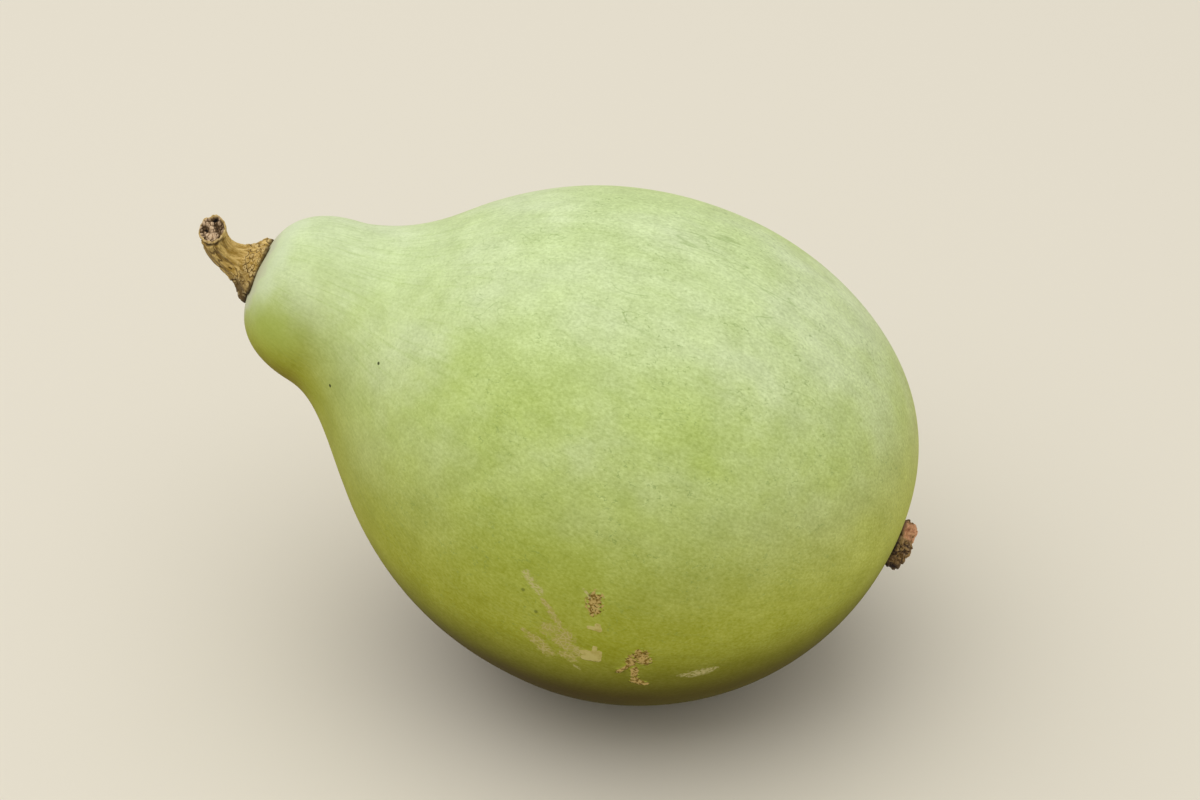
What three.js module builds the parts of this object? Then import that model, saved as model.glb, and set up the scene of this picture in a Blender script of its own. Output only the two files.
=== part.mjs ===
// A round bottle gourd with a short neck, picked with its dry stem, lying on a small flat spot.
// Millimetres, Z up. The origin is the middle of the flat spot, on the surface that it lies on.
// The stem points to -X and up, and the blossom end to +X.

import * as THREE from 'three';

const { degToRad, smoothstep } = THREE.MathUtils;

// Driving dimensions of the fruit
const fruitLength = 215; // from the stem seat to the blossom end, along the axis
const fruitSides = 72;
const fruitTilt = degToRad(21.8); // how far the stem end is raised
const seatHeight = 126.9; // the stem seat above the flat spot
const seatSetback = 120.5; // the stem seat behind the flat spot, along X
const bellyRadius = 79.9;
const bellyStation = 130.9; // distance of the widest ring from the stem seat
const flankRadius = 52.2;
const flankStation = 56.9;
const neckRadius = 27;
const neckStation = 22.4;
const seatRadius = 6; // small flat round that the stem grew on
const floorSoftness = 1.2; // height over which the flat spot rounds up into the belly

// The middle line of a gourd isn't straight: the belly hangs below it and the blossom end turns up
const bellySag = 3.5;
const sagStart = 26;
const sagEnd = 50;
const blossomRise = 11;
const blossomRisePower = 5;

// Long shallow hollows and swellings of the belly, as a height and a number round the fruit
const swellings = [
  { height: 0.55, count: 3, turn: 0.7 },
  { height: 0.3, count: 5, turn: 2.1 },
];

// Driving dimensions of the dry stem
const stemGap = 0.3; // clearance to the fruit, so that the two stay separate solids
const stemSides = 40;
const stemFootRadius = 9.6;
const stemLobes = 5;
const stemLobeDepth = 0.16; // share of the radius, at the foot
const stemLobeTurn = 0.35;
const stemFootLength = 7.5; // how far up the stem the lobes run
const stemRibs = 8;
const stemRibHeight = 0.28;
const stemRibTwist = 0.12; // turn of the ribs in radians for each millimetre
const stemFace = { radius: 4.55, rim: 0.9, dish: 1.1 };
const stemCutLength = 6; // the stretch over which the sections turn to face as the cut does

// Driving dimensions of the dried blossom remnant
const blossomSides = 30;
const blossomGap = 0.3; // clearance to the fruit
const blossomRadius = 7.2;
const blossomHeight = 5.4;
const blossomDish = 1.6;
const blossomLobes = 5;
const blossomLobeDepth = 0.13; // share of the radius

// Directions of the fruit: along the axis to the blossom end, up across it, and to the near side
const along = new THREE.Vector3(Math.cos(fruitTilt), 0, -Math.sin(fruitTilt));
const upAcross = new THREE.Vector3(Math.sin(fruitTilt), 0, Math.cos(fruitTilt));
const nearSide = new THREE.Vector3(0, -1, 0);
const stemSeat = new THREE.Vector3(-seatSetback, 0, seatHeight);

// Points of a cubic curve, given by plain [x, y] corners
function arc(points, steps) {
  const corners = points.map(([x, y]) => new THREE.Vector2(x, y));
  return new THREE.CubicBezierCurve(...corners).getPoints(steps);
}

// Moves every vertex of a geometry by a rule, then works out the normals again
function reshape(geometry, rule) {
  const position = geometry.attributes.position;
  const point = new THREE.Vector3();
  for (let i = 0; i < position.count; i += 1) {
    rule(point.fromBufferAttribute(position, i));
    position.setXYZ(i, point.x, point.y, point.z);
  }
  geometry.computeVertexNormals();
  return geometry;
}

// Drop of the middle line below the straight axis at a distance from the stem seat
function sagAt(station) {
  const rise = blossomRise * (station / fruitLength) ** blossomRisePower;
  return bellySag * smoothstep(station, sagStart, sagEnd) - rise;
}

// A height above the floor, with what would lie below the floor pressed flat onto it
function restOnFloor(height) {
  if (height <= -floorSoftness) return 0;
  if (height >= floorSoftness) return height;
  return (height + floorSoftness) ** 2 / (4 * floorSoftness);
}

// Outline of the fruit as [radius, station], from the stem seat to the blossom end
function fruitProfile() {
  const neck = [neckRadius, neckStation];
  const flank = [flankRadius, flankStation];
  const belly = [bellyRadius, bellyStation];
  const shoulder = arc([[seatRadius, 0], [16.6, 0], [25.1, 6.5], neck], 12);
  const throat = arc([neck, [28.7, 35.7], [44.6, 48.5], flank], 10);
  const side = arc([flank, [68.2, 74.7], [bellyRadius, 98], belly], 13);
  const end = arc([belly, [bellyRadius, 167.6], [55, fruitLength], [0, fruitLength]], 19);
  const seat = new THREE.Vector2(0, 0);
  return [seat, ...shoulder, ...throat.slice(1), ...side.slice(1), ...end.slice(1)];
}

// The fruit: one turned blank, made uneven, bent, tilted and pressed flat underneath
function makeFruit() {
  const blank = new THREE.LatheGeometry(fruitProfile(), fruitSides);
  const place = new THREE.Matrix4().makeBasis(nearSide, along, upAcross).setPosition(stemSeat);
  return reshape(blank, (point) => {
    const station = point.y;
    const angle = Math.atan2(point.x, point.z);
    const fullness = Math.sin(Math.PI * (station / fruitLength)) ** 2;
    const radius = Math.max(Math.hypot(point.x, point.z), seatRadius);
    let swell = 0;
    for (const { height, count, turn } of swellings) swell += height * Math.cos(count * angle + turn);
    const grown = 1 + (swell * fullness) / radius;
    point.set(point.x * grown, station, point.z * grown - sagAt(station));
    point.applyMatrix4(place);
    point.z = restOnFloor(point.z);
  });
}

// A direction from the stem seat, given as its parts outwards, up across the axis and to the near side
function fromSeat(out, up, near) {
  const direction = new THREE.Vector3().addScaledVector(along, -out);
  return direction.addScaledVector(upAcross, up).addScaledVector(nearSide, near);
}

// Middle line of the stem: straight out of the fruit, then bent up and to the near side
const stemCorners = [fromSeat(0, 0, 0), fromSeat(9, 0, 0), fromSeat(14.5, 2.2, 3.2), fromSeat(18, 12.5, 6.1)];
const stemPath = new THREE.CubicBezierCurve3(...stemCorners.map((corner) => corner.add(stemSeat)));
const stemCut = fromSeat(0.5, 0.62, 0.6).normalize(); // the way that the cut face looks

// The dry stem: a lobed foot that narrows to a ribbed stalk and ends in a rough cut face with a rim
function makeStem() {
  const length = stemPath.getLength();
  const { radius: faceRadius, rim, dish } = stemFace;
  const waist = [6, 6];
  const knobStart = [4.1, length - 4];
  const rimEdge = [faceRadius, length - rim];
  const foot = arc([[stemFootRadius, stemGap], [9.9, 2], [7.6, 3.2], waist], 8);
  const stalk = arc([waist, [4.8, 8.6], [4, 12], knobStart], 12);
  const knob = arc([knobStart, [4.1, length - 2.6], [faceRadius, length - 2.4], rimEdge], 5);
  const face = arc([rimEdge, [faceRadius, length + 0.2], [3, length - dish], [0, length - dish]], 6);
  const outline = [...foot, ...stalk.slice(1), ...knob.slice(1), ...face.slice(1)];
  const blank = new THREE.LatheGeometry([new THREE.Vector2(0, stemGap), ...outline], stemSides);
  return reshape(blank, (point) => {
    const distance = point.y;
    const angle = Math.atan2(point.x, point.z);
    const radius = Math.hypot(point.x, point.z);
    const footShare = 1 - smoothstep(distance, 0, stemFootLength);
    const lobe = stemLobeDepth * footShare * Math.cos(stemLobes * (angle - stemLobeTurn));
    const rib = stemRibHeight * (1 - footShare) * Math.cos(stemRibs * angle + stemRibTwist * distance);
    const grown = 1 + lobe + rib / Math.max(radius, faceRadius);
    const share = Math.min(1, distance / length);
    const centre = stemPath.getPointAt(share);
    const turn = smoothstep(distance, length - stemCutLength, length);
    const tangent = stemPath.getTangentAt(share).lerp(stemCut, turn).normalize();
    const side = nearSide.clone().addScaledVector(tangent, -nearSide.dot(tangent)).normalize();
    const across = side.clone().cross(tangent);
    centre.addScaledVector(tangent, distance - share * length);
    centre.addScaledVector(side, point.x * grown).addScaledVector(across, point.z * grown);
    point.copy(centre);
  });
}

// The dried blossom remnant: a low lobed button with a sunk middle, on the tip of the fruit
function makeBlossomRemnant() {
  const foot = [0.85 * blossomRadius, blossomGap];
  const edge = [blossomRadius, 0.4 * blossomHeight];
  const middle = [0, blossomHeight - blossomDish];
  const wall = arc([foot, [blossomRadius, blossomGap], [blossomRadius, 1], edge], 4);
  const crown = arc([edge, [blossomRadius, blossomHeight], [4.3, 1.1 * blossomHeight], middle], 8);
  const outline = [new THREE.Vector2(0, blossomGap), ...wall, ...crown.slice(1)];
  const blank = new THREE.LatheGeometry(outline, blossomSides);
  const tip = fromSeat(-fruitLength, -sagAt(fruitLength), 0).add(stemSeat);
  const place = new THREE.Matrix4().makeBasis(nearSide, along, upAcross).setPosition(tip);
  return reshape(blank, (point) => {
    const angle = Math.atan2(point.x, point.z);
    const grown = 1 + blossomLobeDepth * Math.cos(blossomLobes * angle);
    point.set(point.x * grown, point.y, point.z * grown).applyMatrix4(place);
  });
}

const fruitMaterial = new THREE.MeshStandardMaterial({ color: 0xb4cc82, roughness: 0.55, metalness: 0 });
const stemMaterial = new THREE.MeshStandardMaterial({ color: 0xa08440, roughness: 0.85, metalness: 0 });
const remnantMaterial = new THREE.MeshStandardMaterial({ color: 0x6b4a32, roughness: 0.9, metalness: 0 });

const gourd = new THREE.Group();

function addPiece(name, geometry, material) {
  const mesh = new THREE.Mesh(geometry, material);
  mesh.name = name;
  gourd.add(mesh);
}

addPiece('fruit', makeFruit(), fruitMaterial);
addPiece('stem', makeStem(), stemMaterial);
addPiece('blossom_remnant', makeBlossomRemnant(), remnantMaterial);

export default gourd;
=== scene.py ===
import math
import random
from bisect import bisect

import bmesh
import bpy
from mathutils import Matrix, Vector, noise
from mathutils.geometry import interpolate_bezier
from mathutils.kdtree import KDTree


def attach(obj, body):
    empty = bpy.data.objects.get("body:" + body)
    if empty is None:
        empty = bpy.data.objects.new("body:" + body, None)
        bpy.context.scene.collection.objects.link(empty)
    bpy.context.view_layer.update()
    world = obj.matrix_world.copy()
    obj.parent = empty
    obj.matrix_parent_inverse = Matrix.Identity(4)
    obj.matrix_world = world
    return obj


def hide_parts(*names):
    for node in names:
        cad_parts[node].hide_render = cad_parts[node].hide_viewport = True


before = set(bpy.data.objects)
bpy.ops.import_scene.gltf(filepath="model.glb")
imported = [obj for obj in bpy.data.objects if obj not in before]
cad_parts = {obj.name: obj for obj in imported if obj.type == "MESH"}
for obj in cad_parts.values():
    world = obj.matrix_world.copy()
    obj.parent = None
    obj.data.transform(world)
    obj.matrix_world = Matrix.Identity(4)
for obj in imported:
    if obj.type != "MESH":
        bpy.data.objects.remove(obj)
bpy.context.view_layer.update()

# The fruit: rind and flesh grown as one piece, a round belly under a short neck. It lies on its side
# with the stem end raised, and its own weight has pressed a small flat spot where it touches the ground.
mm = 0.001
fruit_length = 215 * mm
fruit_tilt = math.radians(21.8)
seat_height = 126.9 * mm
seat_setback = 120.5 * mm
seat_radius = 6 * mm
floor_softness = 1.2 * mm
fruit_sides = 320
merge_distance = 0.0001 * mm

# Rings of the outline, each a radius and a distance from the stem seat
neck = (27 * mm, 22.4 * mm)
flank = (52.2 * mm, 56.9 * mm)
belly = (79.9 * mm, 130.9 * mm)

# The middle line sags behind the neck and rises towards the blossom end
belly_sag = 3.5 * mm
sag_start = 26 * mm
sag_end = 50 * mm
blossom_rise = 11 * mm
blossom_rise_power = 5

# Long swellings round the belly, each a height, a number round the fruit and a lag, with soft dents
swellings = ((0.55 * mm, 3, 0.7), (0.3 * mm, 5, 2.1))
dent_height = 0.22 * mm
dent_size = 34 * mm

# The mesh is crowded towards the side with the healed marks, and cut finer on each mark and on a margin
# round it, given as a share of half the mark's width
scar_side = math.radians(98)
crowding = 0.42
mark_margin = 0.9
mark_cuts = 3

# Relief of the healed marks: how far each stands out, and the size of its crumbs
cork_height = 0.16 * mm
cork_edge_size = 1.1 * mm
crumb_height = 0.2 * mm
crumb_size = 0.8 * mm
plate_height = 0.08 * mm
net_height = 0.1 * mm
net_size = 0.9 * mm

# The stem's lobed foot, because the rind is darkened along its edge with a painted contact shadow
stem_foot_radius = 9.6 * mm
stem_lobes = 5
stem_lobe_depth = 0.16
stem_lobe_turn = 0.35

along = Vector((math.cos(fruit_tilt), 0, -math.sin(fruit_tilt)))
up_across = Vector((math.sin(fruit_tilt), 0, math.cos(fruit_tilt)))
near_side = Vector((0, -1, 0))
stem_seat = Vector((-seat_setback, 0, seat_height))

# Healed marks in the rind, each a band between two places given as a distance from the stem seat in
# millimetres and a turn round the fruit in degrees, with half its width in millimetres.
cork_marks = (
    (132.2, 86.0, 133.6, 89.2, 2.3),
    (152.6, 98.0, 154.6, 100.0, 2.4),
    (150.9, 100.2, 151.6, 101.6, 1.6),
    (149.4, 106.0, 151.3, 102.6, 0.9),
    (153.3, 103.6, 154.4, 106.6, 1.2),
    (154.8, 107.6, 155.6, 109.0, 1.4),
    (156.6, 109.4, 158.9, 109.8, 1.3),
)
net_marks = (
    (118.6, 92.4, 122.4, 94.0, 0.9),
    (122.4, 94.4, 126.4, 96.6, 1.2),
    (125.0, 99.4, 129.6, 99.8, 3.4),
    (129.6, 101.4, 135.4, 103.6, 3.2),
    (122.0, 104.6, 128.0, 107.0, 2.4),
    (132.0, 105.4, 135.6, 106.4, 1.6),
    (117.8, 103.6, 122.4, 104.2, 0.9),
)
plate_marks = (
    (137.4, 102.2, 141.4, 102.0, 1.4),
    (138.2, 104.0, 141.8, 103.4, 1.3),
    (139.4, 99.6, 139.8, 101.2, 0.8),
    (141.3, 100.8, 142.0, 102.8, 0.9),
    (134.9, 94.2, 137.6, 93.9, 0.8),
    (136.8, 92.9, 138.0, 94.0, 0.9),
)
rub_marks = (
    (110.9, 88.2, 116.9, 90.8, 2.0),
    (128.2, 85.2, 130.8, 86.4, 0.6),
    (136.9, 108.4, 138.7, 109.0, 0.9),
    (167.0, 105.2, 171.8, 104.1, 1.2),
    (169.6, 104.3, 175.6, 102.3, 1.5),
    (170.4, 104.6, 173.4, 103.6, 2.6),
)


def joined_arcs(*arcs):
    """One outline from arcs that follow each other, each given by its two ends, two handles and steps."""
    outline = [Vector(arcs[0][0])]
    for *corners, steps in arcs:
        outline += interpolate_bezier(*(Vector(corner) for corner in corners), steps + 1)[1:]
    return outline


def turned_blank(outline, sides):
    """A blank turned round Z from an outline of radius and height, closed at both poles."""
    blank = bmesh.new()
    points = [blank.verts.new((radius, 0, height)) for radius, height in outline]
    edges = [blank.edges.new(pair) for pair in zip(points, points[1:])]
    bmesh.ops.spin(
        blank, geom=points + edges, cent=(0, 0, 0), axis=(0, 0, 1), dvec=(0, 0, 0),
        angle=math.tau, steps=sides, use_merge=True,
    )
    bmesh.ops.remove_doubles(blank, verts=blank.verts, dist=merge_distance)
    bmesh.ops.recalc_face_normals(blank, faces=blank.faces)
    return blank


def ease(value, low, high):
    """Rises smoothly from 0 at low to 1 at high."""
    share = min(1, max(0, (value - low) / (high - low)))
    return share * share * (3 - 2 * share)


def sag_at(station):
    """How far the middle line lies below the straight axis: the belly hangs, the blossom end turns up."""
    rise = blossom_rise * (station / fruit_length) ** blossom_rise_power
    return belly_sag * ease(station, sag_start, sag_end) - rise


def rest_on_floor(height):
    """A height with what would lie below the floor pressed flat onto it."""
    if abs(height) >= floor_softness:
        return max(0, height)
    return (height + floor_softness) ** 2 / (4 * floor_softness)


def in_mark(marks, place):
    """How deep a place lies in the nearest mark: 1 in its middle, 0 at its edge, down to -1 outside."""
    deepest = -1
    for from_station, from_turn, to_station, to_turn, half_width in marks:
        if not from_station - 2 * half_width < place.z / mm < to_station + 2 * half_width:
            continue
        radius = place.xy.length
        turn = math.atan2(place.y, place.x) % math.tau
        offset = Vector((place.z - from_station * mm, (turn - math.radians(from_turn)) * radius))
        run = Vector(((to_station - from_station) * mm, math.radians(to_turn - from_turn) * radius))
        share = min(1, max(0, offset.dot(run) / run.length_squared))
        deepest = max(deepest, 1 - (offset - run * share).length / (half_width * mm))
    return deepest


def finished(blank, name, material):
    """The scene's piece made from a finished blank, smooth, with its material."""
    mesh = bpy.data.meshes.new(name)
    blank.to_mesh(mesh)
    blank.free()
    mesh.shade_smooth()
    mesh.materials.append(material)
    piece = bpy.data.objects.new(name, mesh)
    bpy.context.scene.collection.objects.link(piece)
    return piece


def on_fruit(station, turn, radius):
    """The place of a point of the straight blank on the tilted and bent fruit."""
    up = radius * math.cos(turn) - sag_at(station)
    return stem_seat + along * station + up_across * up + near_side * radius * math.sin(turn)


fruit_outline = joined_arcs(
    ((0, 0), (2 * mm, 0), (4 * mm, 0), (seat_radius, 0), 5),
    ((seat_radius, 0), (16.6 * mm, 0), (25.1 * mm, 6.5 * mm), neck, 34),
    (neck, (28.7 * mm, 35.7 * mm), (44.6 * mm, 48.5 * mm), flank, 34),
    (flank, (68.2 * mm, 74.7 * mm), (belly[0], 98 * mm), belly, 70),
    (belly, (belly[0], 167.6 * mm), (55 * mm, fruit_length), (0, fruit_length), 100),
)
fruit = turned_blank(fruit_outline, fruit_sides)
for vert in fruit.verts:
    radius = vert.co.xy.length
    turn = math.atan2(vert.co.y, vert.co.x)
    turn -= crowding * math.sin(turn - scar_side)
    vert.co = (radius * math.cos(turn), radius * math.sin(turn), vert.co.z)

all_marks = cork_marks + net_marks + plate_marks
marked = {vert for vert in fruit.verts if in_mark(all_marks, vert.co) > -mark_margin}
marked_edges = [edge for edge in fruit.edges if marked.issuperset(edge.verts)]
bmesh.ops.subdivide_edges(fruit, edges=marked_edges, cuts=mark_cuts, use_grid_fill=True)

# What the rind reads: the place before bending, the depth in each kind of mark, the way past the foot
grown = fruit.verts.layers.float_vector.new("grown")
scars = fruit.verts.layers.float_color.new("scars")
beyond_foot = fruit.verts.layers.float.new("beyond_foot")
for vert in fruit.verts:
    radius = vert.co.xy.length
    station = vert.co.z
    turn = math.atan2(vert.co.y, vert.co.x)
    fullness = math.sin(math.pi * station / fruit_length) ** 2
    vert[grown] = vert.co
    cork, net, plate, rub = (
        in_mark(marks, vert.co) for marks in (cork_marks, net_marks, plate_marks, rub_marks)
    )
    vert[scars] = (cork, net, plate, rub)

    # The stem's foot is lobed, and counts its turns from below
    lobe = stem_lobe_depth * math.cos(stem_lobes * (math.pi - turn - stem_lobe_turn))
    vert[beyond_foot] = radius - stem_foot_radius * (1 + lobe)
    swell = sum(height * math.cos(count * turn + lag) for height, count, lag in swellings) * fullness
    swell += dent_height * noise.noise(vert.co / dent_size) * fullness
    ragged_cork = cork + 0.55 * noise.noise(vert.co / cork_edge_size)
    swell += ease(ragged_cork, 0, 0.3) * (cork_height + crumb_height * noise.noise(vert.co / crumb_size))
    swell += plate_height * ease(plate, 0, 0.2)
    swell += net_height * ease(net, 0, 0.6) * noise.noise(vert.co / net_size)
    vert.co = on_fruit(station, turn, radius + swell * min(1, radius / seat_radius))
    vert.co.z = rest_on_floor(vert.co.z)


def linear(code):
    """A colour given as sRGB hex, as Blender's linear red, green, blue and alpha."""
    parts = [int(code[i:i + 2], 16) / 255 for i in (1, 3, 5)]
    return [part / 12.92 if part <= 0.04045 else ((part + 0.055) / 1.055) ** 2.4 for part in parts] + [1]


def add(kind, inputs=(), output=0, **settings):
    """Adds a node with its settings and its inputs, values or sockets, and gives one of its outputs."""
    node = tree.nodes.new(kind)
    for name, value in settings.items():
        setattr(node, name, value)
    for key, value in dict(inputs).items():
        if isinstance(value, bpy.types.NodeSocket):
            tree.links.new(value, node.inputs[key])
        else:
            node.inputs[key].default_value = value
    return node.outputs[output]


def grain(size, detail=2.0, stretch=(1, 1, 1), rough=0.5):
    """Patches of about a size in metres on the skin in hand, longer where the stretch is smaller."""
    scale = [part / size for part in stretch]
    place = add("ShaderNodeVectorMath", {0: skin, 1: scale}, operation="MULTIPLY")
    return add("ShaderNodeTexNoise", {0: place, "Scale": 1.0, "Detail": detail, "Roughness": rough})


def laid(under, over, *steps):
    """One colour laid over another where all the steps show it, each step a value, the two ends of a range
    of it, and the shares of the colour that show at those ends."""
    share = None
    for value, low, high, at_low, at_high in steps:
        ends = {"From Min": low, "From Max": high, "To Min": at_low, "To Max": at_high}
        step = add("ShaderNodeMapRange", {"Value": value, **ends}, interpolation_type="SMOOTHSTEP")
        share = add("ShaderNodeMath", {0: share, 1: step}, operation="MULTIPLY") if share else step
    under, over = (linear(colour) if isinstance(colour, str) else colour for colour in (under, over))
    return add("ShaderNodeMix", {0: share, 6: under, 7: over}, 2, data_type="RGBA")


def toned(colour, value, strength, share=1.0):
    """A colour made darker and richer where a value is under a half, lighter and paler where it is over."""
    lightness = {0: value, 1: strength, 2: 1 - 0.5 * strength}
    richness = {0: value, 1: -0.35 * strength, 2: 1 + 0.175 * strength}
    change = {
        "Value": add("ShaderNodeMath", lightness, operation="MULTIPLY_ADD"),
        "Saturation": add("ShaderNodeMath", richness, operation="MULTIPLY_ADD"),
        "Fac": share,
        "Color": colour,
    }
    return add("ShaderNodeHueSaturation", change)


def skin_place(station_mm, turn_deg):
    """A place on the skin of the straight blank, from its distance from the stem seat and its turn."""
    radius, height = min(fruit_outline, key=lambda point: abs(point.y - station_mm * mm))
    turn = math.radians(turn_deg)
    return radius * math.cos(turn), radius * math.sin(turn), height


# Waxy rind of a half ripe bottle gourd: a thin skin, pale green under a bluish white bloom, satin, with a
# fine grain of short dark flecks and a velvet of fine hairs. Olive to brown towards the ground: partly its
# own ground spot, partly painted shade.
rind = bpy.data.materials.new("waxy_gourd_rind")
rind.use_nodes = True
tree = rind.node_tree
shader = tree.nodes["Principled BSDF"]
skin = add("ShaderNodeAttribute", output="Vector", attribute_name="grown")
station = add("ShaderNodeSeparateXYZ", {0: skin}, "Z")
facing = add("ShaderNodeSeparateXYZ", {0: add("ShaderNodeNewGeometry", output="Normal")}, "Z")

# Green under the bloom, darker down the flanks to olive below and brown where the belly lies on the ground:
# partly the fruit's own ground spot, partly painted shade on the underside and painted shadow at the
# contact
underside = laid("#7d7012", "#3b2900", (station, 50 * mm, 90 * mm, 0, 1))
colour = laid(underside, "#a1a530", (facing, -0.6, -0.12, 0, 1))
colour = laid(colour, "#b9cd68", (facing, -0.22, 0.66, 0, 1))
colour = laid(colour, "#cbde9d", (facing, 0.55, 1.0, 0, 1))
tip_flank = (facing, 0.6, 0.1, 0, 1), (facing, -0.4, -0.05, 0, 1)
colour = laid(colour, "#ccd460", (station, 150 * mm, 205 * mm, 0, 0.5), *tip_flank)
# The bloom's colour and the streaks' colour also darken towards the underside: painted shade
pale = laid("#8a8a18", "#dfebc4", (facing, -0.45, 0.8, 0, 1))
deep = laid("#5d5710", "#9fb85a", (facing, -0.45, 0.55, 0, 1))

# Bloom lies thick on the neck and the blossom end and thin round the belly, in soft clouds
neck_ends = {"From Min": 50 * mm, "From Max": 95 * mm, "To Min": 0.5, "To Max": 0.0}
tip_ends = {"From Min": 120 * mm, "From Max": 180 * mm, "To Min": 0.0, "To Max": 0.72}
neck_bloom = add("ShaderNodeMapRange", {"Value": station, **neck_ends}, interpolation_type="SMOOTHSTEP")
tip_bloom = add("ShaderNodeMapRange", {"Value": station, **tip_ends}, interpolation_type="SMOOTHSTEP")
clouds = grain(30 * mm, 4.0, (1, 1, 0.75), 0.55)
bloom = add("ShaderNodeMath", {0: clouds, 1: 2.8, 2: neck_bloom}, operation="MULTIPLY_ADD")
bloom = add("ShaderNodeMath", {0: bloom, 1: tip_bloom}, operation="ADD")
# The bloom thins out towards the underside: painted shade
colour = laid(colour, pale, (bloom, 0.9, 2.7, 0.04, 0.85), (facing, -0.2, 0.9, 0.2, 1))
mottle = grain(9 * mm, 5.0, (1, 1, 0.8), 0.6)
colour = toned(colour, mottle, 0.5)

# Fine streaks that follow the growth of the neck, 0.6 mm wide there, fading out over the belly
flat = add("ShaderNodeVectorMath", {0: skin, 1: (1, 1, 0)}, operation="MULTIPLY")
around = add("ShaderNodeVectorMath", {0: flat}, operation="NORMALIZE")
streak_place = add("ShaderNodeVectorMath", {0: around, 1: (44, 44, 44), 2: skin}, operation="MULTIPLY_ADD")
streak_place = add("ShaderNodeVectorMath", {0: streak_place, 1: (1, 1, 60)}, operation="MULTIPLY")
streaks = add("ShaderNodeTexNoise", {0: streak_place, "Scale": 1.0, "Detail": 3.0})
colour = laid(colour, deep, (streaks, 0.48, 0.7, 0, 1), (station, 40 * mm, 90 * mm, 0.22, 0.1))

# The grain of the skin: short marks about 0.5 mm wide that lie lengthwise, darker and paler, with
# sparse dark flecks where it is rubbed. The real marks are finer: they are drawn as coarse as they show.
fine = grain(0.95 * mm, 3.0, (1.15, 1.15, 0.75), 0.65)
neck_share = {"Value": station, "From Min": 35 * mm, "From Max": 90 * mm, "To Min": 0.6, "To Max": 1.0}
colour = toned(colour, fine, 0.75, add("ShaderNodeMapRange", neck_share))
level = grain(2.6 * mm, 2.0, (1.2, 1.2, 0.7))
broken = (grain(1.7 * mm, 1.0), 0.5, 0.62, 0, 1)
crowded = (grain(15 * mm, 2.0), 0.42, 0.64, 0.08, 0.5)
colour = laid(
    colour, "#78924a", (level, 0.474, 0.497, 0, 1), (level, 0.503, 0.526, 1, 0), broken, crowded,
    (station, 35 * mm, 90 * mm, 0.35, 1), (facing, -0.5, -0.1, 0, 1),
)

# Hairlines 10 to 30 mm long that follow the growth of the upper belly, where the skin stretched
hairline = grain(11 * mm, 1.0, (1.8, 1.8, 0.2))
hairlines = (grain(14 * mm, 2.0, (1, 1, 0.6)), 0.5, 0.62, 0, 1)
colour = laid(
    colour, "#8ca65c", (hairline, 0.488, 0.499, 0, 1), (hairline, 0.501, 0.512, 1, 0), hairlines,
    (facing, 0.5, 0.85, 0, 0.38), (station, 45 * mm, 70 * mm, 0, 1),
)

# Bloom left greyish white round the stem, a dark line where the stem's foot ends that is painted contact
# shadow, and a greener shoulder
ring = add("ShaderNodeMath", {0: grain(6 * mm, 3.0), 1: 4 * mm, 2: station}, operation="MULTIPLY_ADD")
# Whiter on the upper side of the cap round the stem: partly bloom, partly a painted highlight
colour = laid(colour, "#dfeaca", (ring, 12 * mm, 5.5 * mm, 0, 0.55), (facing, 0, 0.6, 0, 1))
colour = laid(colour, "#cbcdb2", (ring, 5 * mm, 3 * mm, 0, 0.8))
beyond = add("ShaderNodeAttribute", output="Fac", attribute_name="beyond_foot")
# A dark line round the edge of the stem's foot: painted contact shadow
foot_contact_shadow = add("ShaderNodeMath", {0: grain(1.5 * mm, 3.0), 1: 1.6 * mm, 2: beyond}, operation="MULTIPLY_ADD")
colour = laid(colour, "#57501f", (foot_contact_shadow, 1.9 * mm, 0.8 * mm, 0, 0.85))
shoulder = add("ShaderNodeVectorMath", {0: skin, 1: skin_place(11.5, 92)}, "Value", operation="DISTANCE")
shoulder = add("ShaderNodeMath", {0: grain(5 * mm, 3.0), 1: 9 * mm, 2: shoulder}, operation="MULTIPLY_ADD")
colour = laid(colour, "#acbd4e", (shoulder, 20 * mm, 7 * mm, 0, 0.6), (facing, -0.4, 0.3, 0.25, 1))

# Two dark pinholes on the neck, and small green bruises
for place in ((46.0, 63.1), (35.3, 94.6)):
    reach = add("ShaderNodeVectorMath", {0: skin, 1: skin_place(*place)}, "Value", operation="DISTANCE")
    colour = laid(colour, "#26300c", (reach, 0.62 * mm, 0.36 * mm, 0, 0.92))
for place in ((119.1, 96.4), (112.7, 92.5), (130.6, 85.4)):
    reach = add("ShaderNodeVectorMath", {0: skin, 1: skin_place(*place)}, "Value", operation="DISTANCE")
    colour = laid(colour, "#566018", (reach, 0.9 * mm, 0.3 * mm, 0, 0.65))

# Healed marks: a net of fine cracks, flat peeled plates, corky scabs with dark gaps and pale rubs. The
# edge of each is made ragged by the crumb of the cork.
scar_colour = add("ShaderNodeAttribute", output="Color", attribute_name="scars")
marks = add("ShaderNodeSeparateXYZ", {0: scar_colour}).node.outputs
rub_mark = scar_colour.node.outputs["Alpha"]
crumb = grain(1.1 * mm, 3.0)
net = add("ShaderNodeMath", {0: crumb, 1: 2.4, 2: marks["Y"]}, operation="MULTIPLY_ADD")
cell_place = add("ShaderNodeVectorMath", {0: skin, "Scale": 1 / (1.5 * mm)}, operation="SCALE")
cracks = add("ShaderNodeTexVoronoi", {0: cell_place, "Scale": 1.0}, feature="DISTANCE_TO_EDGE")
patchy = (grain(2.4 * mm, 3.0), 0.36, 0.56, 0.35, 1)
colour = laid(colour, "#b3a65c", (net, 1.0, 1.6, 0, 0.62), patchy)
colour = laid(colour, "#c4b67e", (net, 1.1, 1.65, 0, 0.6), (cracks, 0.16, 0.05, 0, 1), patchy)
plate = add("ShaderNodeMath", {0: crumb, 1: 0.72, 2: marks["Z"]}, operation="MULTIPLY_ADD")
plate_colour = laid("#c9bc78", "#b7a75e", (grain(2 * mm, 3.0), 0.4, 0.65, 0, 1))
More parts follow.
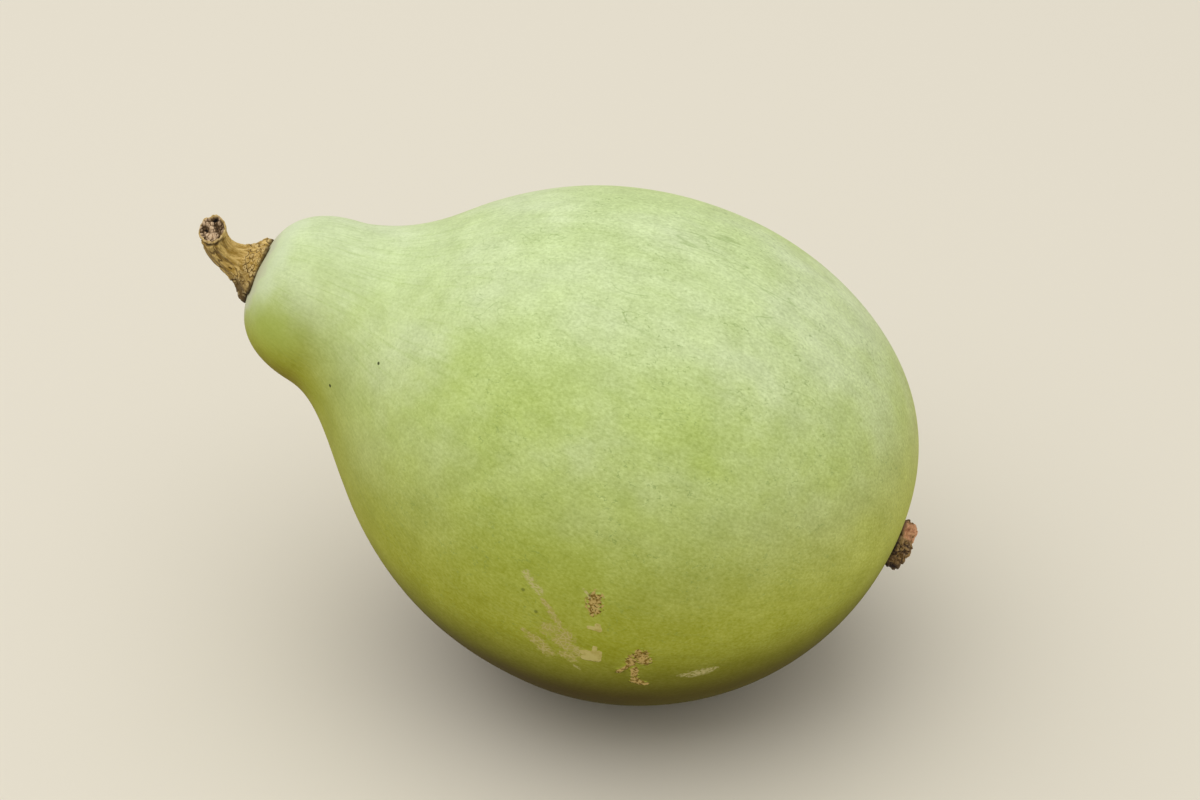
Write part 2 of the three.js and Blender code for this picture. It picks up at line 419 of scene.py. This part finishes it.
colour = laid(colour, plate_colour, (plate, 0.39, 0.45, 0, 0.88))
cork = add("ShaderNodeMath", {0: crumb, 1: 2.4, 2: marks["X"]}, operation="MULTIPLY_ADD")
cork_colour = laid("#7d5f28", "#c4a768", (grain(1.0 * mm, 2.0), 0.38, 0.54, 0, 1))
cork_colour = laid(cork_colour, "#4d3a12", (grain(0.8 * mm, 1.0), 0.58, 0.66, 0, 0.85))
colour = laid(colour, cork_colour, (cork, 1.2, 1.5, 0, 0.92))
rub = add("ShaderNodeMath", {0: crumb, 1: 1.2, 2: rub_mark}, operation="MULTIPLY_ADD")
rubbed = (grain(0.8 * mm, 2.0, (1.6, 1.6, 0.5)), 0.42, 0.54, 0.1, 0.75)
colour = laid(colour, "#cbbf8a", (rub, 0.6, 1.3, 0, 1), rubbed)
tree.links.new(colour, shader.inputs["Base Color"])

# Satin on the wax, dull on the cork and underneath, with the relief of the grain and the crumb
scab = add("ShaderNodeMapRange", {"Value": cork, "From Min": 1.2, "From Max": 1.5})
gloss = add("ShaderNodeMath", {0: mottle, 1: 0.25, 2: 0.43}, operation="MULTIPLY_ADD")
gloss = add("ShaderNodeMath", {0: scab, 1: 0.3, 2: gloss}, operation="MULTIPLY_ADD")
under_ends = {"From Min": 0.1, "From Max": -0.4, "To Min": 0.0, "To Max": 0.3}
dusty = add("ShaderNodeMapRange", {"Value": facing, **under_ends})
gloss = add("ShaderNodeMath", {0: gloss, 1: dusty}, operation="ADD")
tree.links.new(gloss, shader.inputs["Roughness"])
crumbs = add("ShaderNodeMath", {0: scab, 1: crumb}, operation="MULTIPLY")
relief = add("ShaderNodeMath", {0: fine, 1: 0.4, 2: crumbs}, operation="MULTIPLY_ADD")
bumps = add("ShaderNodeBump", {"Strength": 0.35, "Distance": 0.25 * mm, "Height": relief})
tree.links.new(bumps, shader.inputs["Normal"])
shader.inputs["IOR"].default_value = 1.4
shader.inputs["Specular Tint"].default_value = linear("#dfe0a8")
shader.inputs["Sheen Weight"].default_value = 0.05
shader.inputs["Sheen Roughness"].default_value = 0.4
shader.inputs["Sheen Tint"].default_value = linear("#e0e4a0")

fruit = finished(fruit, "gourd_fruit", rind)
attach(fruit, "root")
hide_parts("fruit")

# The dry stem: a woody stalk with a lobed warty foot grown onto the neck, bent up and to the near side.
# It was snapped rather than cut clean, so its end is a broken ring of pith and hollow vessels in a rim.
stem_foot_length = 7.5 * mm
stem_ribs = 8
stem_rib_height = 0.28 * mm
stem_rib_twist = 0.12 / mm
stem_face_radius = 4.55 * mm
stem_rim = 0.9 * mm
stem_dish = 1.1 * mm
stem_cut_length = 6 * mm
stem_sides = 300
stem_sink = 0.5 * mm
stem_path_steps = 240

# Warts of the foot, between two distances from its seat
wart_seed = 11
wart_tries = 900
wart_zone = (0.3 * mm, 8.5 * mm)
wart_spacing = 1.55 * mm
wart_radius = (0.55 * mm, 0.85 * mm)
wart_height = 0.4 * mm

# Furrows and wrinkles of the stalk. Each stretch is their width as a share of their length.
furrow_spacing = 0.95 * mm
furrow_stretch = 0.16
furrow_depth = 0.42 * mm
furrow_turn = math.radians(52)
wrinkle_size = 0.5 * mm
wrinkle_stretch = 0.3
wrinkle_height = 0.1 * mm

# The uneven rim, the hollow under it, and the broken face inside it
rim_unevenness = 0.3 * mm
under_rim_turn = math.radians(60)
under_rim_drop = 2.8 * mm
under_rim_reach = 0.9 * mm
under_rim_depth = 1.4 * mm
broken_drop = 1.8 * mm
broken_radius = 4.6 * mm
pith_size = 1.3 * mm
pith_crumb_size = 0.55 * mm

# Hollows and lumps of the broken end, each given as its place across the face and towards the near side,
# its radius and its height, in millimetres
broken_end = (
    (0.4, -0.3, 0.85, 0.8), (2.1, -0.4, 0.7, -1.9), (2.6, -1.4, 0.5, -1.1), (-1.5, -0.9, 0.6, -1.5),
    (-1.0, -1.6, 0.5, -1.2), (-1.7, -0.1, 0.45, -1.1), (-0.2, -3.1, 0.5, -1.1), (-0.9, -3.3, 0.55, -1.2),
    (-1.6, -2.9, 0.45, -0.9), (-3.3, -2.3, 0.6, -1.3), (-3.5, -1.2, 0.5, -1.0), (-3.3, 0.1, 0.45, -0.9),
    (3.1, 1.5, 0.42, -1.2), (2.5, 2.5, 0.42, -1.2), (1.8, 3.1, 0.38, -0.9), (-2.3, 2.9, 0.5, -1.2),
    (-3.2, 2.0, 0.42, -0.9), (-1.4, 3.0, 0.5, 0.9), (0.9, 1.2, 0.8, 0.6), (-0.6, 1.7, 0.85, 0.6),
    (0.3, 2.7, 0.8, 0.5), (2.2, 0.9, 0.55, 0.5), (1.6, -2.4, 1.0, 0.5), (3.6, 2.8, 0.9, 0.6),
)


def from_seat(out, up, near):
    """A place from the stem seat outwards, up across the axis and to the near side, in millimetres."""
    return stem_seat + (up_across * up - along * out + near_side * near) * mm


stem_corners = ((0, 0, 0), (9, 0, 0), (14.5, 2.2, 3.2), (18, 12.5, 6.1))
stem_path = interpolate_bezier(*(from_seat(*corner) for corner in stem_corners), stem_path_steps)
stem_cut = (from_seat(0.5, 0.62, 0.6) - stem_seat).normalized()
stem_reach = [0]
for start, end in zip(stem_path, stem_path[1:]):
    stem_reach.append(stem_reach[-1] + (end - start).length)
stem_length = stem_reach[-1]


def on_stem(distance):
    """The middle of the stem at a distance from its seat, and its directions sideways and across."""
    step = min(max(bisect(stem_reach, distance) - 1, 0), len(stem_path) - 2)
    start, end = stem_path[step], stem_path[step + 1]
    tangent = (end - start).normalized()
    centre = start + tangent * (distance - stem_reach[step])
    turned = ease(distance, stem_length - stem_cut_length, stem_length)
    tangent = tangent.lerp(stem_cut, turned).normalized()
    side = (near_side - tangent * near_side.dot(tangent)).normalized()
    return centre, side, side.cross(tangent)


foot_under = (stem_foot_radius - stem_sink, -stem_sink)
waist = (6 * mm, 6 * mm)
knob_start = (4.1 * mm, stem_length - 4 * mm)
rim_edge = (stem_face_radius, stem_length - stem_rim)
foot_end = (stem_foot_radius, 0.9 * mm)
inner_rim = (3.5 * mm, stem_length - 0.8 * mm)
stem_outline = joined_arcs(
    ((0, -stem_sink), (4 * mm, -stem_sink), (8 * mm, -stem_sink), foot_under, 8),
    (
        foot_under, (stem_foot_radius + stem_sink, -stem_sink),
        (stem_foot_radius, 0.5 * mm), foot_end, 6,
    ),
    (foot_end, (stem_foot_radius, 2.2 * mm), (7.6 * mm, 3.2 * mm), waist, 40),
    (waist, (4.8 * mm, 8.6 * mm), (4 * mm, 12 * mm), knob_start, 76),
    (
        knob_start, (4.1 * mm, stem_length - 2.6 * mm), (stem_face_radius, stem_length - 2.4 * mm),
        rim_edge, 18,
    ),
    (
        rim_edge, (stem_face_radius, stem_length + 0.2 * mm), (3.9 * mm, stem_length - 0.5 * mm),
        inner_rim, 14,
    ),
    (
        inner_rim, (3 * mm, stem_length - stem_dish), (1.5 * mm, stem_length - stem_dish),
        (0, stem_length - stem_dish), 26,
    ),
)
stem = turned_blank(stem_outline, stem_sides)

# What the wood reads: the place before bending, and the depth in furrows, in warts and in the broken end
grown = stem.verts.layers.float_vector.new("grown")
relief_and_shade = stem.verts.layers.float_color.new("relief_and_shade")

# Warts are strewn over the foot, none nearer to another than their spacing
chance = random.Random(wart_seed)
foot_verts = [vert.co.copy() for vert in stem.verts if wart_zone[0] < vert.co.z < wart_zone[1]]
wart_places = []
for place in (chance.choice(foot_verts) for attempt in range(wart_tries)):
    if all((place - other).length > wart_spacing for other in wart_places):
        wart_places.append(place)
warts = KDTree(len(wart_places))
for index, place in enumerate(wart_places):
    warts.insert(place, index)
warts.balance()
wart_radii = [chance.uniform(*wart_radius) for place in wart_places]

for vert in stem.verts:
    radius = vert.co.xy.length
    distance = vert.co.z
    turn = math.atan2(vert.co.y, vert.co.x)
    vert[grown] = vert.co
    width = max(radius, stem_face_radius)
    around = Vector((math.cos(turn), math.sin(turn), 0)) * width
    at_rim = ease(distance, stem_length - 2.6 * mm, stem_length - 1.2 * mm)
    foot_share = 1 - ease(distance, 0, stem_foot_length)
    lobe = stem_lobe_depth * foot_share * math.cos(stem_lobes * (turn - stem_lobe_turn))
    rib = stem_rib_height * (1 - foot_share) * math.cos(stem_ribs * turn + stem_rib_twist * distance)
    rib *= 1 - at_rim

    # Furrows run up the shaded side of the stalk, with fine wrinkles all round
    furrow_place = Vector((around.x, around.y, distance * furrow_stretch)) / furrow_spacing
    furrow = abs(noise.noise(furrow_place + Vector((3.1, 0, 0)))) * 2
    shaded = 0.25 + 0.75 * ease(math.cos(turn - furrow_turn), 0.3, 0.85)
    along_stalk = ease(distance, 2 * mm, 6 * mm) * (1 - 0.7 * at_rim)
    groove = (1 - ease(furrow, 0, 0.42)) * shaded * along_stalk
    wrinkle_place = Vector((around.x, around.y, distance * wrinkle_stretch)) / wrinkle_size
    wrinkle = wrinkle_height * noise.noise(wrinkle_place)

    # Each wart has a sunk middle and a crease round it, which is painted dark as shade
    index, gap = warts.find(vert.co)[1:]
    wart = gap / wart_radii[index]
    ring = ease(wart, 1.2, 0.75) - 0.8 * ease(wart, 0.5, 0.1)
    wart_share = ease(distance, stem_foot_length + 1.5 * mm, stem_foot_length - 2 * mm)
    wart_share *= 0.25 + 0.75 * ease(noise.noise(vert.co / (2.8 * mm)), -0.3, 0.15)
    wart_tone = (ring - 1.3 * math.exp(-((wart - 1.25) / 0.22) ** 2)) * wart_share

    # The rim is a little uneven, and stands out over a hollow on its lower side, which is painted near
    # black as shadow
    torn = rim_unevenness * at_rim * noise.noise(around / (2.2 * mm))
    hollow = math.exp(-((distance - stem_length + under_rim_drop) / under_rim_reach) ** 2)
    hollow *= ease(math.cos(turn - under_rim_turn) + 0.3 * noise.noise(around / (1.5 * mm)), 0, 0.9)
    swell = -furrow_depth * groove + wrinkle + wart_height * ring * wart_share * min(1, radius / (5 * mm))
    swell += torn - under_rim_depth * hollow
    grown_radius = radius * (1 + lobe + (rib + swell) / width)

    # The broken end: lumps of pith with cracks between them, round the hollows of the vessels
    lift = rim_unevenness * at_rim * noise.noise((around + Vector((0, 0, 5 * mm))) / (1.5 * mm))
    lift *= ease(radius, 2.6 * mm, 4.2 * mm)
    torn_height = 0
    on_face = 0
    if distance > stem_length - broken_drop and radius < broken_radius:
        flat = Vector((radius * math.cos(turn), radius * math.sin(turn))) / mm
        gaps = noise.voronoi(vert.co / pith_size)[0]
        torn_height = 0.5 * noise.noise(vert.co / pith_size) + 0.3 * noise.noise(vert.co / pith_crumb_size)
        torn_height += 0.2 - 0.75 * ease(gaps[1] - gaps[0], 0.28, 0)
        for across_mm, side_mm, size, height in broken_end:
            off_middle = (flat - Vector((across_mm, side_mm))).length
            torn_height += 0.75 * height * math.exp(-(off_middle / size) ** 2)
        lift += torn_height * mm * 0.8 * (1 - 0.6 * ease(radius, 3.7 * mm, 4.4 * mm))
        on_face = 1 - ease(radius + 0.5 * mm * noise.noise(around / mm), 3.9 * mm, 4.4 * mm)
    vert[relief_and_shade] = (max(groove, 2.6 * hollow), wart_tone, torn_height, on_face)
    centre, side, across = on_stem(distance + lift)
    vert.co = centre + side * grown_radius * math.sin(turn) + across * grown_radius * math.cos(turn)

# Dead dry stem wood: fibrous and matte, tan where the light bleached it, with pale pith on the broken end.
# It is darker on its lower sides, brown in its furrows and round its warts, dark at its seat, near black
# under the rim
# and inside its vessels: painted shade and painted shadow.
dry_wood = bpy.data.materials.new("dry_gourd_stem_wood")
dry_wood.use_nodes = True
tree = dry_wood.node_tree
shader = tree.nodes["Principled BSDF"]
skin = add("ShaderNodeAttribute", output="Vector", attribute_name="grown")
under_side = add("ShaderNodeSeparateXYZ", {0: skin}, "X")
height_on_stem = under_side.node.outputs["Z"]
facing = add("ShaderNodeSeparateXYZ", {0: add("ShaderNodeNewGeometry", output="Normal")}, "Z")
relief_and_shade_colour = add("ShaderNodeAttribute", output="Color", attribute_name="relief_and_shade")
relief_parts = add("ShaderNodeSeparateXYZ", {0: relief_and_shade_colour}).node.outputs
colour = laid("#ab8836", "#e6c67c", (grain(0.9 * mm, 4.0, (1, 1, 0.14)), 0.35, 0.66, 0, 1))
colour = laid(colour, "#b6934a", (grain(2.6 * mm, 3.0), 0.5, 0.72, 0, 0.5))
colour = laid(colour, "#7d5c1a", (grain(0.5 * mm, 2.0, (1, 1, 0.5)), 0.55, 0.7, 0, 0.45))
# Darker where the wood faces down and on the lower side of the foot: painted shade
colour = laid(colour, "#3d2704", (facing, 0.2, -0.6, 0, 0.8))
foot_underside_shade = (under_side, -8 * mm, 6 * mm, 0, 0.8)
colour = laid(colour, "#4a3206", foot_underside_shade, (height_on_stem, 8 * mm, 4 * mm, 0, 1))
# Brown in the furrows and near black in the hollow under the rim: painted shade and painted shadow
colour = laid(colour, "#553b08", (relief_parts["X"], 0.2, 0.9, 0, 0.75))
colour = laid(colour, "#1c1106", (relief_parts["X"], 1.0, 1.7, 0, 0.9))
# Dark round each wart: painted shade in its crease
colour = laid(colour, "#4c350e", (relief_parts["Y"], -0.15, -0.9, 0, 0.85))
colour = laid(colour, "#e2ca94", (relief_parts["Y"], 0.3, 0.9, 0, 0.5))
# Dark where the stem meets the fruit: painted contact shadow
colour = laid(colour, "#33240c", (height_on_stem, 1.4 * mm, 0, 0, 0.8))
rim_top = (height_on_stem, stem_length - 1.3 * mm, stem_length - 0.6 * mm, 0, 0.6)
colour = laid(colour, "#e4cb9c", rim_top, (grain(1.2 * mm, 2.0), 0.42, 0.58, 0.3, 1))
# The pith darkens with depth into the hollows and is near black inside the vessels: painted shade
pith = laid("#5f4626", "#dcbf9c", (relief_parts["Z"], -0.5, 0.45, 0, 1))
pith = laid(pith, "#84684a", (grain(0.7 * mm, 3.0), 0.5, 0.64, 0, 0.45))
pith = laid(pith, "#170c0e", (relief_parts["Z"], -0.7, -1.4, 0, 1))
colour = laid(colour, pith, (relief_and_shade_colour.node.outputs["Alpha"], 0, 1, 0, 1))
tree.links.new(colour, shader.inputs["Base Color"])
fibres = add("ShaderNodeBump", {"Strength": 0.5, "Distance": 0.12 * mm, "Height": grain(0.35 * mm, 4.0)})
tree.links.new(fibres, shader.inputs["Normal"])
shader.inputs["Roughness"].default_value = 0.85
stem = finished(stem, "dry_stem", dry_wood)
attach(stem, "root")
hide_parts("stem")

# The dried blossom: the flower's base, withered to a crinkled button on the tip of the fruit. Its
# middle is sunk and its edge is folded into five lobes.
blossom_radius = 7.2 * mm
blossom_height = 5.4 * mm
blossom_dish = 1.6 * mm
blossom_lobes = 5
blossom_lobe_depth = 0.13
blossom_sides = 220
blossom_sink = 0.6 * mm
lump_size = 1.9 * mm
lump_height = 0.9 * mm
crinkle_size = 0.7 * mm
crinkle_height = 0.22 * mm
pleat_depth = 0.3 * mm

# The folds are bent by three fixed parts of one noise, so that they fall the same each run
fold_bend = 0.35
fold_shifts = (Vector((0, 0, 0)), Vector((17.3, 4.1, 0)), Vector((0, 9.7, 31.7)))

foot = (0.85 * blossom_radius, -blossom_sink)
edge = (blossom_radius, 0.4 * blossom_height)
blossom_outline = joined_arcs(
    ((0, -blossom_sink), (2 * mm, -blossom_sink), (4 * mm, -blossom_sink), foot, 6),
    (foot, (blossom_radius, -blossom_sink), (blossom_radius, 1 * mm), edge, 24),
    (
        edge, (blossom_radius, blossom_height), (4.3 * mm, 1.1 * blossom_height),
        (0, blossom_height - blossom_dish), 76,
    ),
)
blossom = turned_blank(blossom_outline, blossom_sides)

# What the tissue reads: the creases, how far below the middle, the height on the button and the lumps
fold = blossom.verts.layers.float_color.new("fold")
blossom_tip = stem_seat + along * fruit_length - up_across * sag_at(fruit_length)
for vert in blossom.verts:
    radius = vert.co.xy.length
    distance = vert.co.z
    turn = math.atan2(vert.co.y, vert.co.x)
    seen = ease(distance, -0.2 * mm, 1.2 * mm)
    below = 0.5 - 0.5 * math.cos(turn)
    smooth = 1 - 0.5 * ease(below, 0.22, 0.08)
    place = vert.co / lump_size
    bend = Vector([noise.noise(place + shift) for shift in fold_shifts])
    gaps = noise.voronoi(place + fold_bend * bend)[0]
    lump = ease(gaps[1] - gaps[0], 0, 0.5)
    crease = 1 - ease(gaps[1] - gaps[0], 0, 0.25)
    crinkle = crinkle_height * noise.noise(vert.co / crinkle_size)
    pleat = abs(noise.noise(Vector((math.cos(turn), math.sin(turn), 0.1 * distance / mm)) * 3.5))
    swell = seen * (lump_height * lump * smooth + crinkle - pleat_depth * ease(pleat, 0.2, 0))
    vert[fold] = (crease * smooth, below, distance / blossom_height, lump)
    grown_radius = radius * (1 + blossom_lobe_depth * math.cos(blossom_lobes * turn))
    grown_radius += swell * radius / blossom_radius
    centre = blossom_tip + along * (distance + swell * (1.4 - radius / blossom_radius))
    vert.co = centre + up_across * grown_radius * math.cos(turn) + near_side * grown_radius * math.sin(turn)

# Withered flower tissue: papery and matte, pinkish buff where it is thick on top, greyish brown over the
# folds and purple black underneath. It is darkened in its creases and at its base, painted shade.
withered = bpy.data.materials.new("withered_blossom")
withered.use_nodes = True
tree = withered.node_tree
shader = tree.nodes["Principled BSDF"]
skin = add("ShaderNodeTexCoord", output="Object")
fold_colour = add("ShaderNodeAttribute", output="Color", attribute_name="fold")
folded = add("ShaderNodeSeparateXYZ", {0: fold_colour}).node.outputs
colour = laid("#67491e", "#b3925e", (grain(1.6 * mm, 3.0), 0.38, 0.62, 0, 1))
colour = laid(colour, "#b59c7a", (grain(0.6 * mm, 3.0), 0.5, 0.66, 0, 0.55))
pink = add("ShaderNodeMath", {0: grain(2.4 * mm, 2.0), 1: -0.4, 2: folded["Y"]}, operation="MULTIPLY_ADD")
colour = laid(colour, "#e4aa80", (pink, -0.09, -0.18, 0, 0.9))
colour = laid(colour, "#9a6040", (pink, -0.09, -0.18, 0, 1), (grain(1.1 * mm, 3.0), 0.52, 0.64, 0, 0.6))
# Dark in the creases: painted shade
colour = laid(colour, "#26150f", (folded["X"], 0.35, 0.95, 0, 0.8))
colour = laid(colour, "#1d0e12", (pink, 0.42, 0.72, 0, 0.85))
# Dark at the base where the button meets the fruit: painted contact shadow
colour = laid(colour, "#1f0f10", (folded["Z"], 0.2, 0.0, 0, 0.75))
tree.links.new(colour, shader.inputs["Base Color"])
crisp = add("ShaderNodeBump", {"Strength": 0.5, "Distance": 0.12 * mm, "Height": grain(0.4 * mm, 3.0)})
tree.links.new(crisp, shader.inputs["Normal"])
shader.inputs["Roughness"].default_value = 0.88
blossom = finished(blossom, "dried_blossom", withered)
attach(blossom, "root")
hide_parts("blossom_remnant")

# The stage: a pale cream floor under a wide soft sky and one broad lamp overhead, as on a dull day. It
# only shows the fruit, and none of it is part of the fruit.
floor_size = 8
floor_colour = "#ece5d6"
floor_roughness = 0.9
sky_colour = "#f4f3ee"
sky_strength = 0.66
lamp_size = 2.4
lamp_watts = 17
lamp_place = Vector((-0.3, -0.1, 1.7))
lamp_target = Vector((0, 0, 0.05))

floor_blank = bmesh.new()
bmesh.ops.create_grid(floor_blank, x_segments=1, y_segments=1, size=floor_size / 2)
floor_paper = bpy.data.materials.new("matte_studio_paper")
floor_paper.use_nodes = True
shader = floor_paper.node_tree.nodes["Principled BSDF"]
shader.inputs["Base Color"].default_value = linear(floor_colour)
shader.inputs["Roughness"].default_value = floor_roughness
floor = finished(floor_blank, "studio_floor", floor_paper)

sky = bpy.data.worlds.new("soft_studio")
sky.use_nodes = True
backdrop = sky.node_tree.nodes["Background"]
backdrop.inputs["Color"].default_value = linear(sky_colour)
backdrop.inputs["Strength"].default_value = sky_strength
bpy.context.scene.world = sky

light = bpy.data.lights.new("overhead_lamp", "AREA")
light.size = lamp_size
light.energy = lamp_watts
lamp = bpy.data.objects.new("overhead_lamp", light)
lamp.location = lamp_place
lamp.rotation_euler = (lamp_target - lamp_place).to_track_quat("-Z", "Y").to_euler()
bpy.context.scene.collection.objects.link(lamp)

# The camera looks down at the near side at the photograph's angle, from about 1.2 metres away, with the
# narrow view of a short telephoto lens.
field_of_view = math.radians(18)
camera_azimuth = math.radians(12.05)
camera_elevation = math.radians(36)
camera_place = Vector((186.7, -931.3, 785.7)) * mm
backwards = Vector((
    math.sin(camera_azimuth) * math.cos(camera_elevation),
    -math.cos(camera_azimuth) * math.cos(camera_elevation),
    math.sin(camera_elevation),
))
rightwards = Vector((math.cos(camera_azimuth), math.sin(camera_azimuth), 0))
upwards = backwards.cross(rightwards)
lens = bpy.data.cameras.new("photo_camera")
lens.sensor_fit = "HORIZONTAL"
lens.angle = field_of_view
camera = bpy.data.objects.new("photo_camera", lens)
camera_turn = Matrix((rightwards, upwards, backwards)).transposed().to_4x4()
camera.matrix_world = Matrix.Translation(camera_place) @ camera_turn
bpy.context.scene.collection.objects.link(camera)
bpy.context.scene.camera = camera
bpy.context.scene.view_settings.view_transform = "Standard"

bpy.context.view_layer.update()
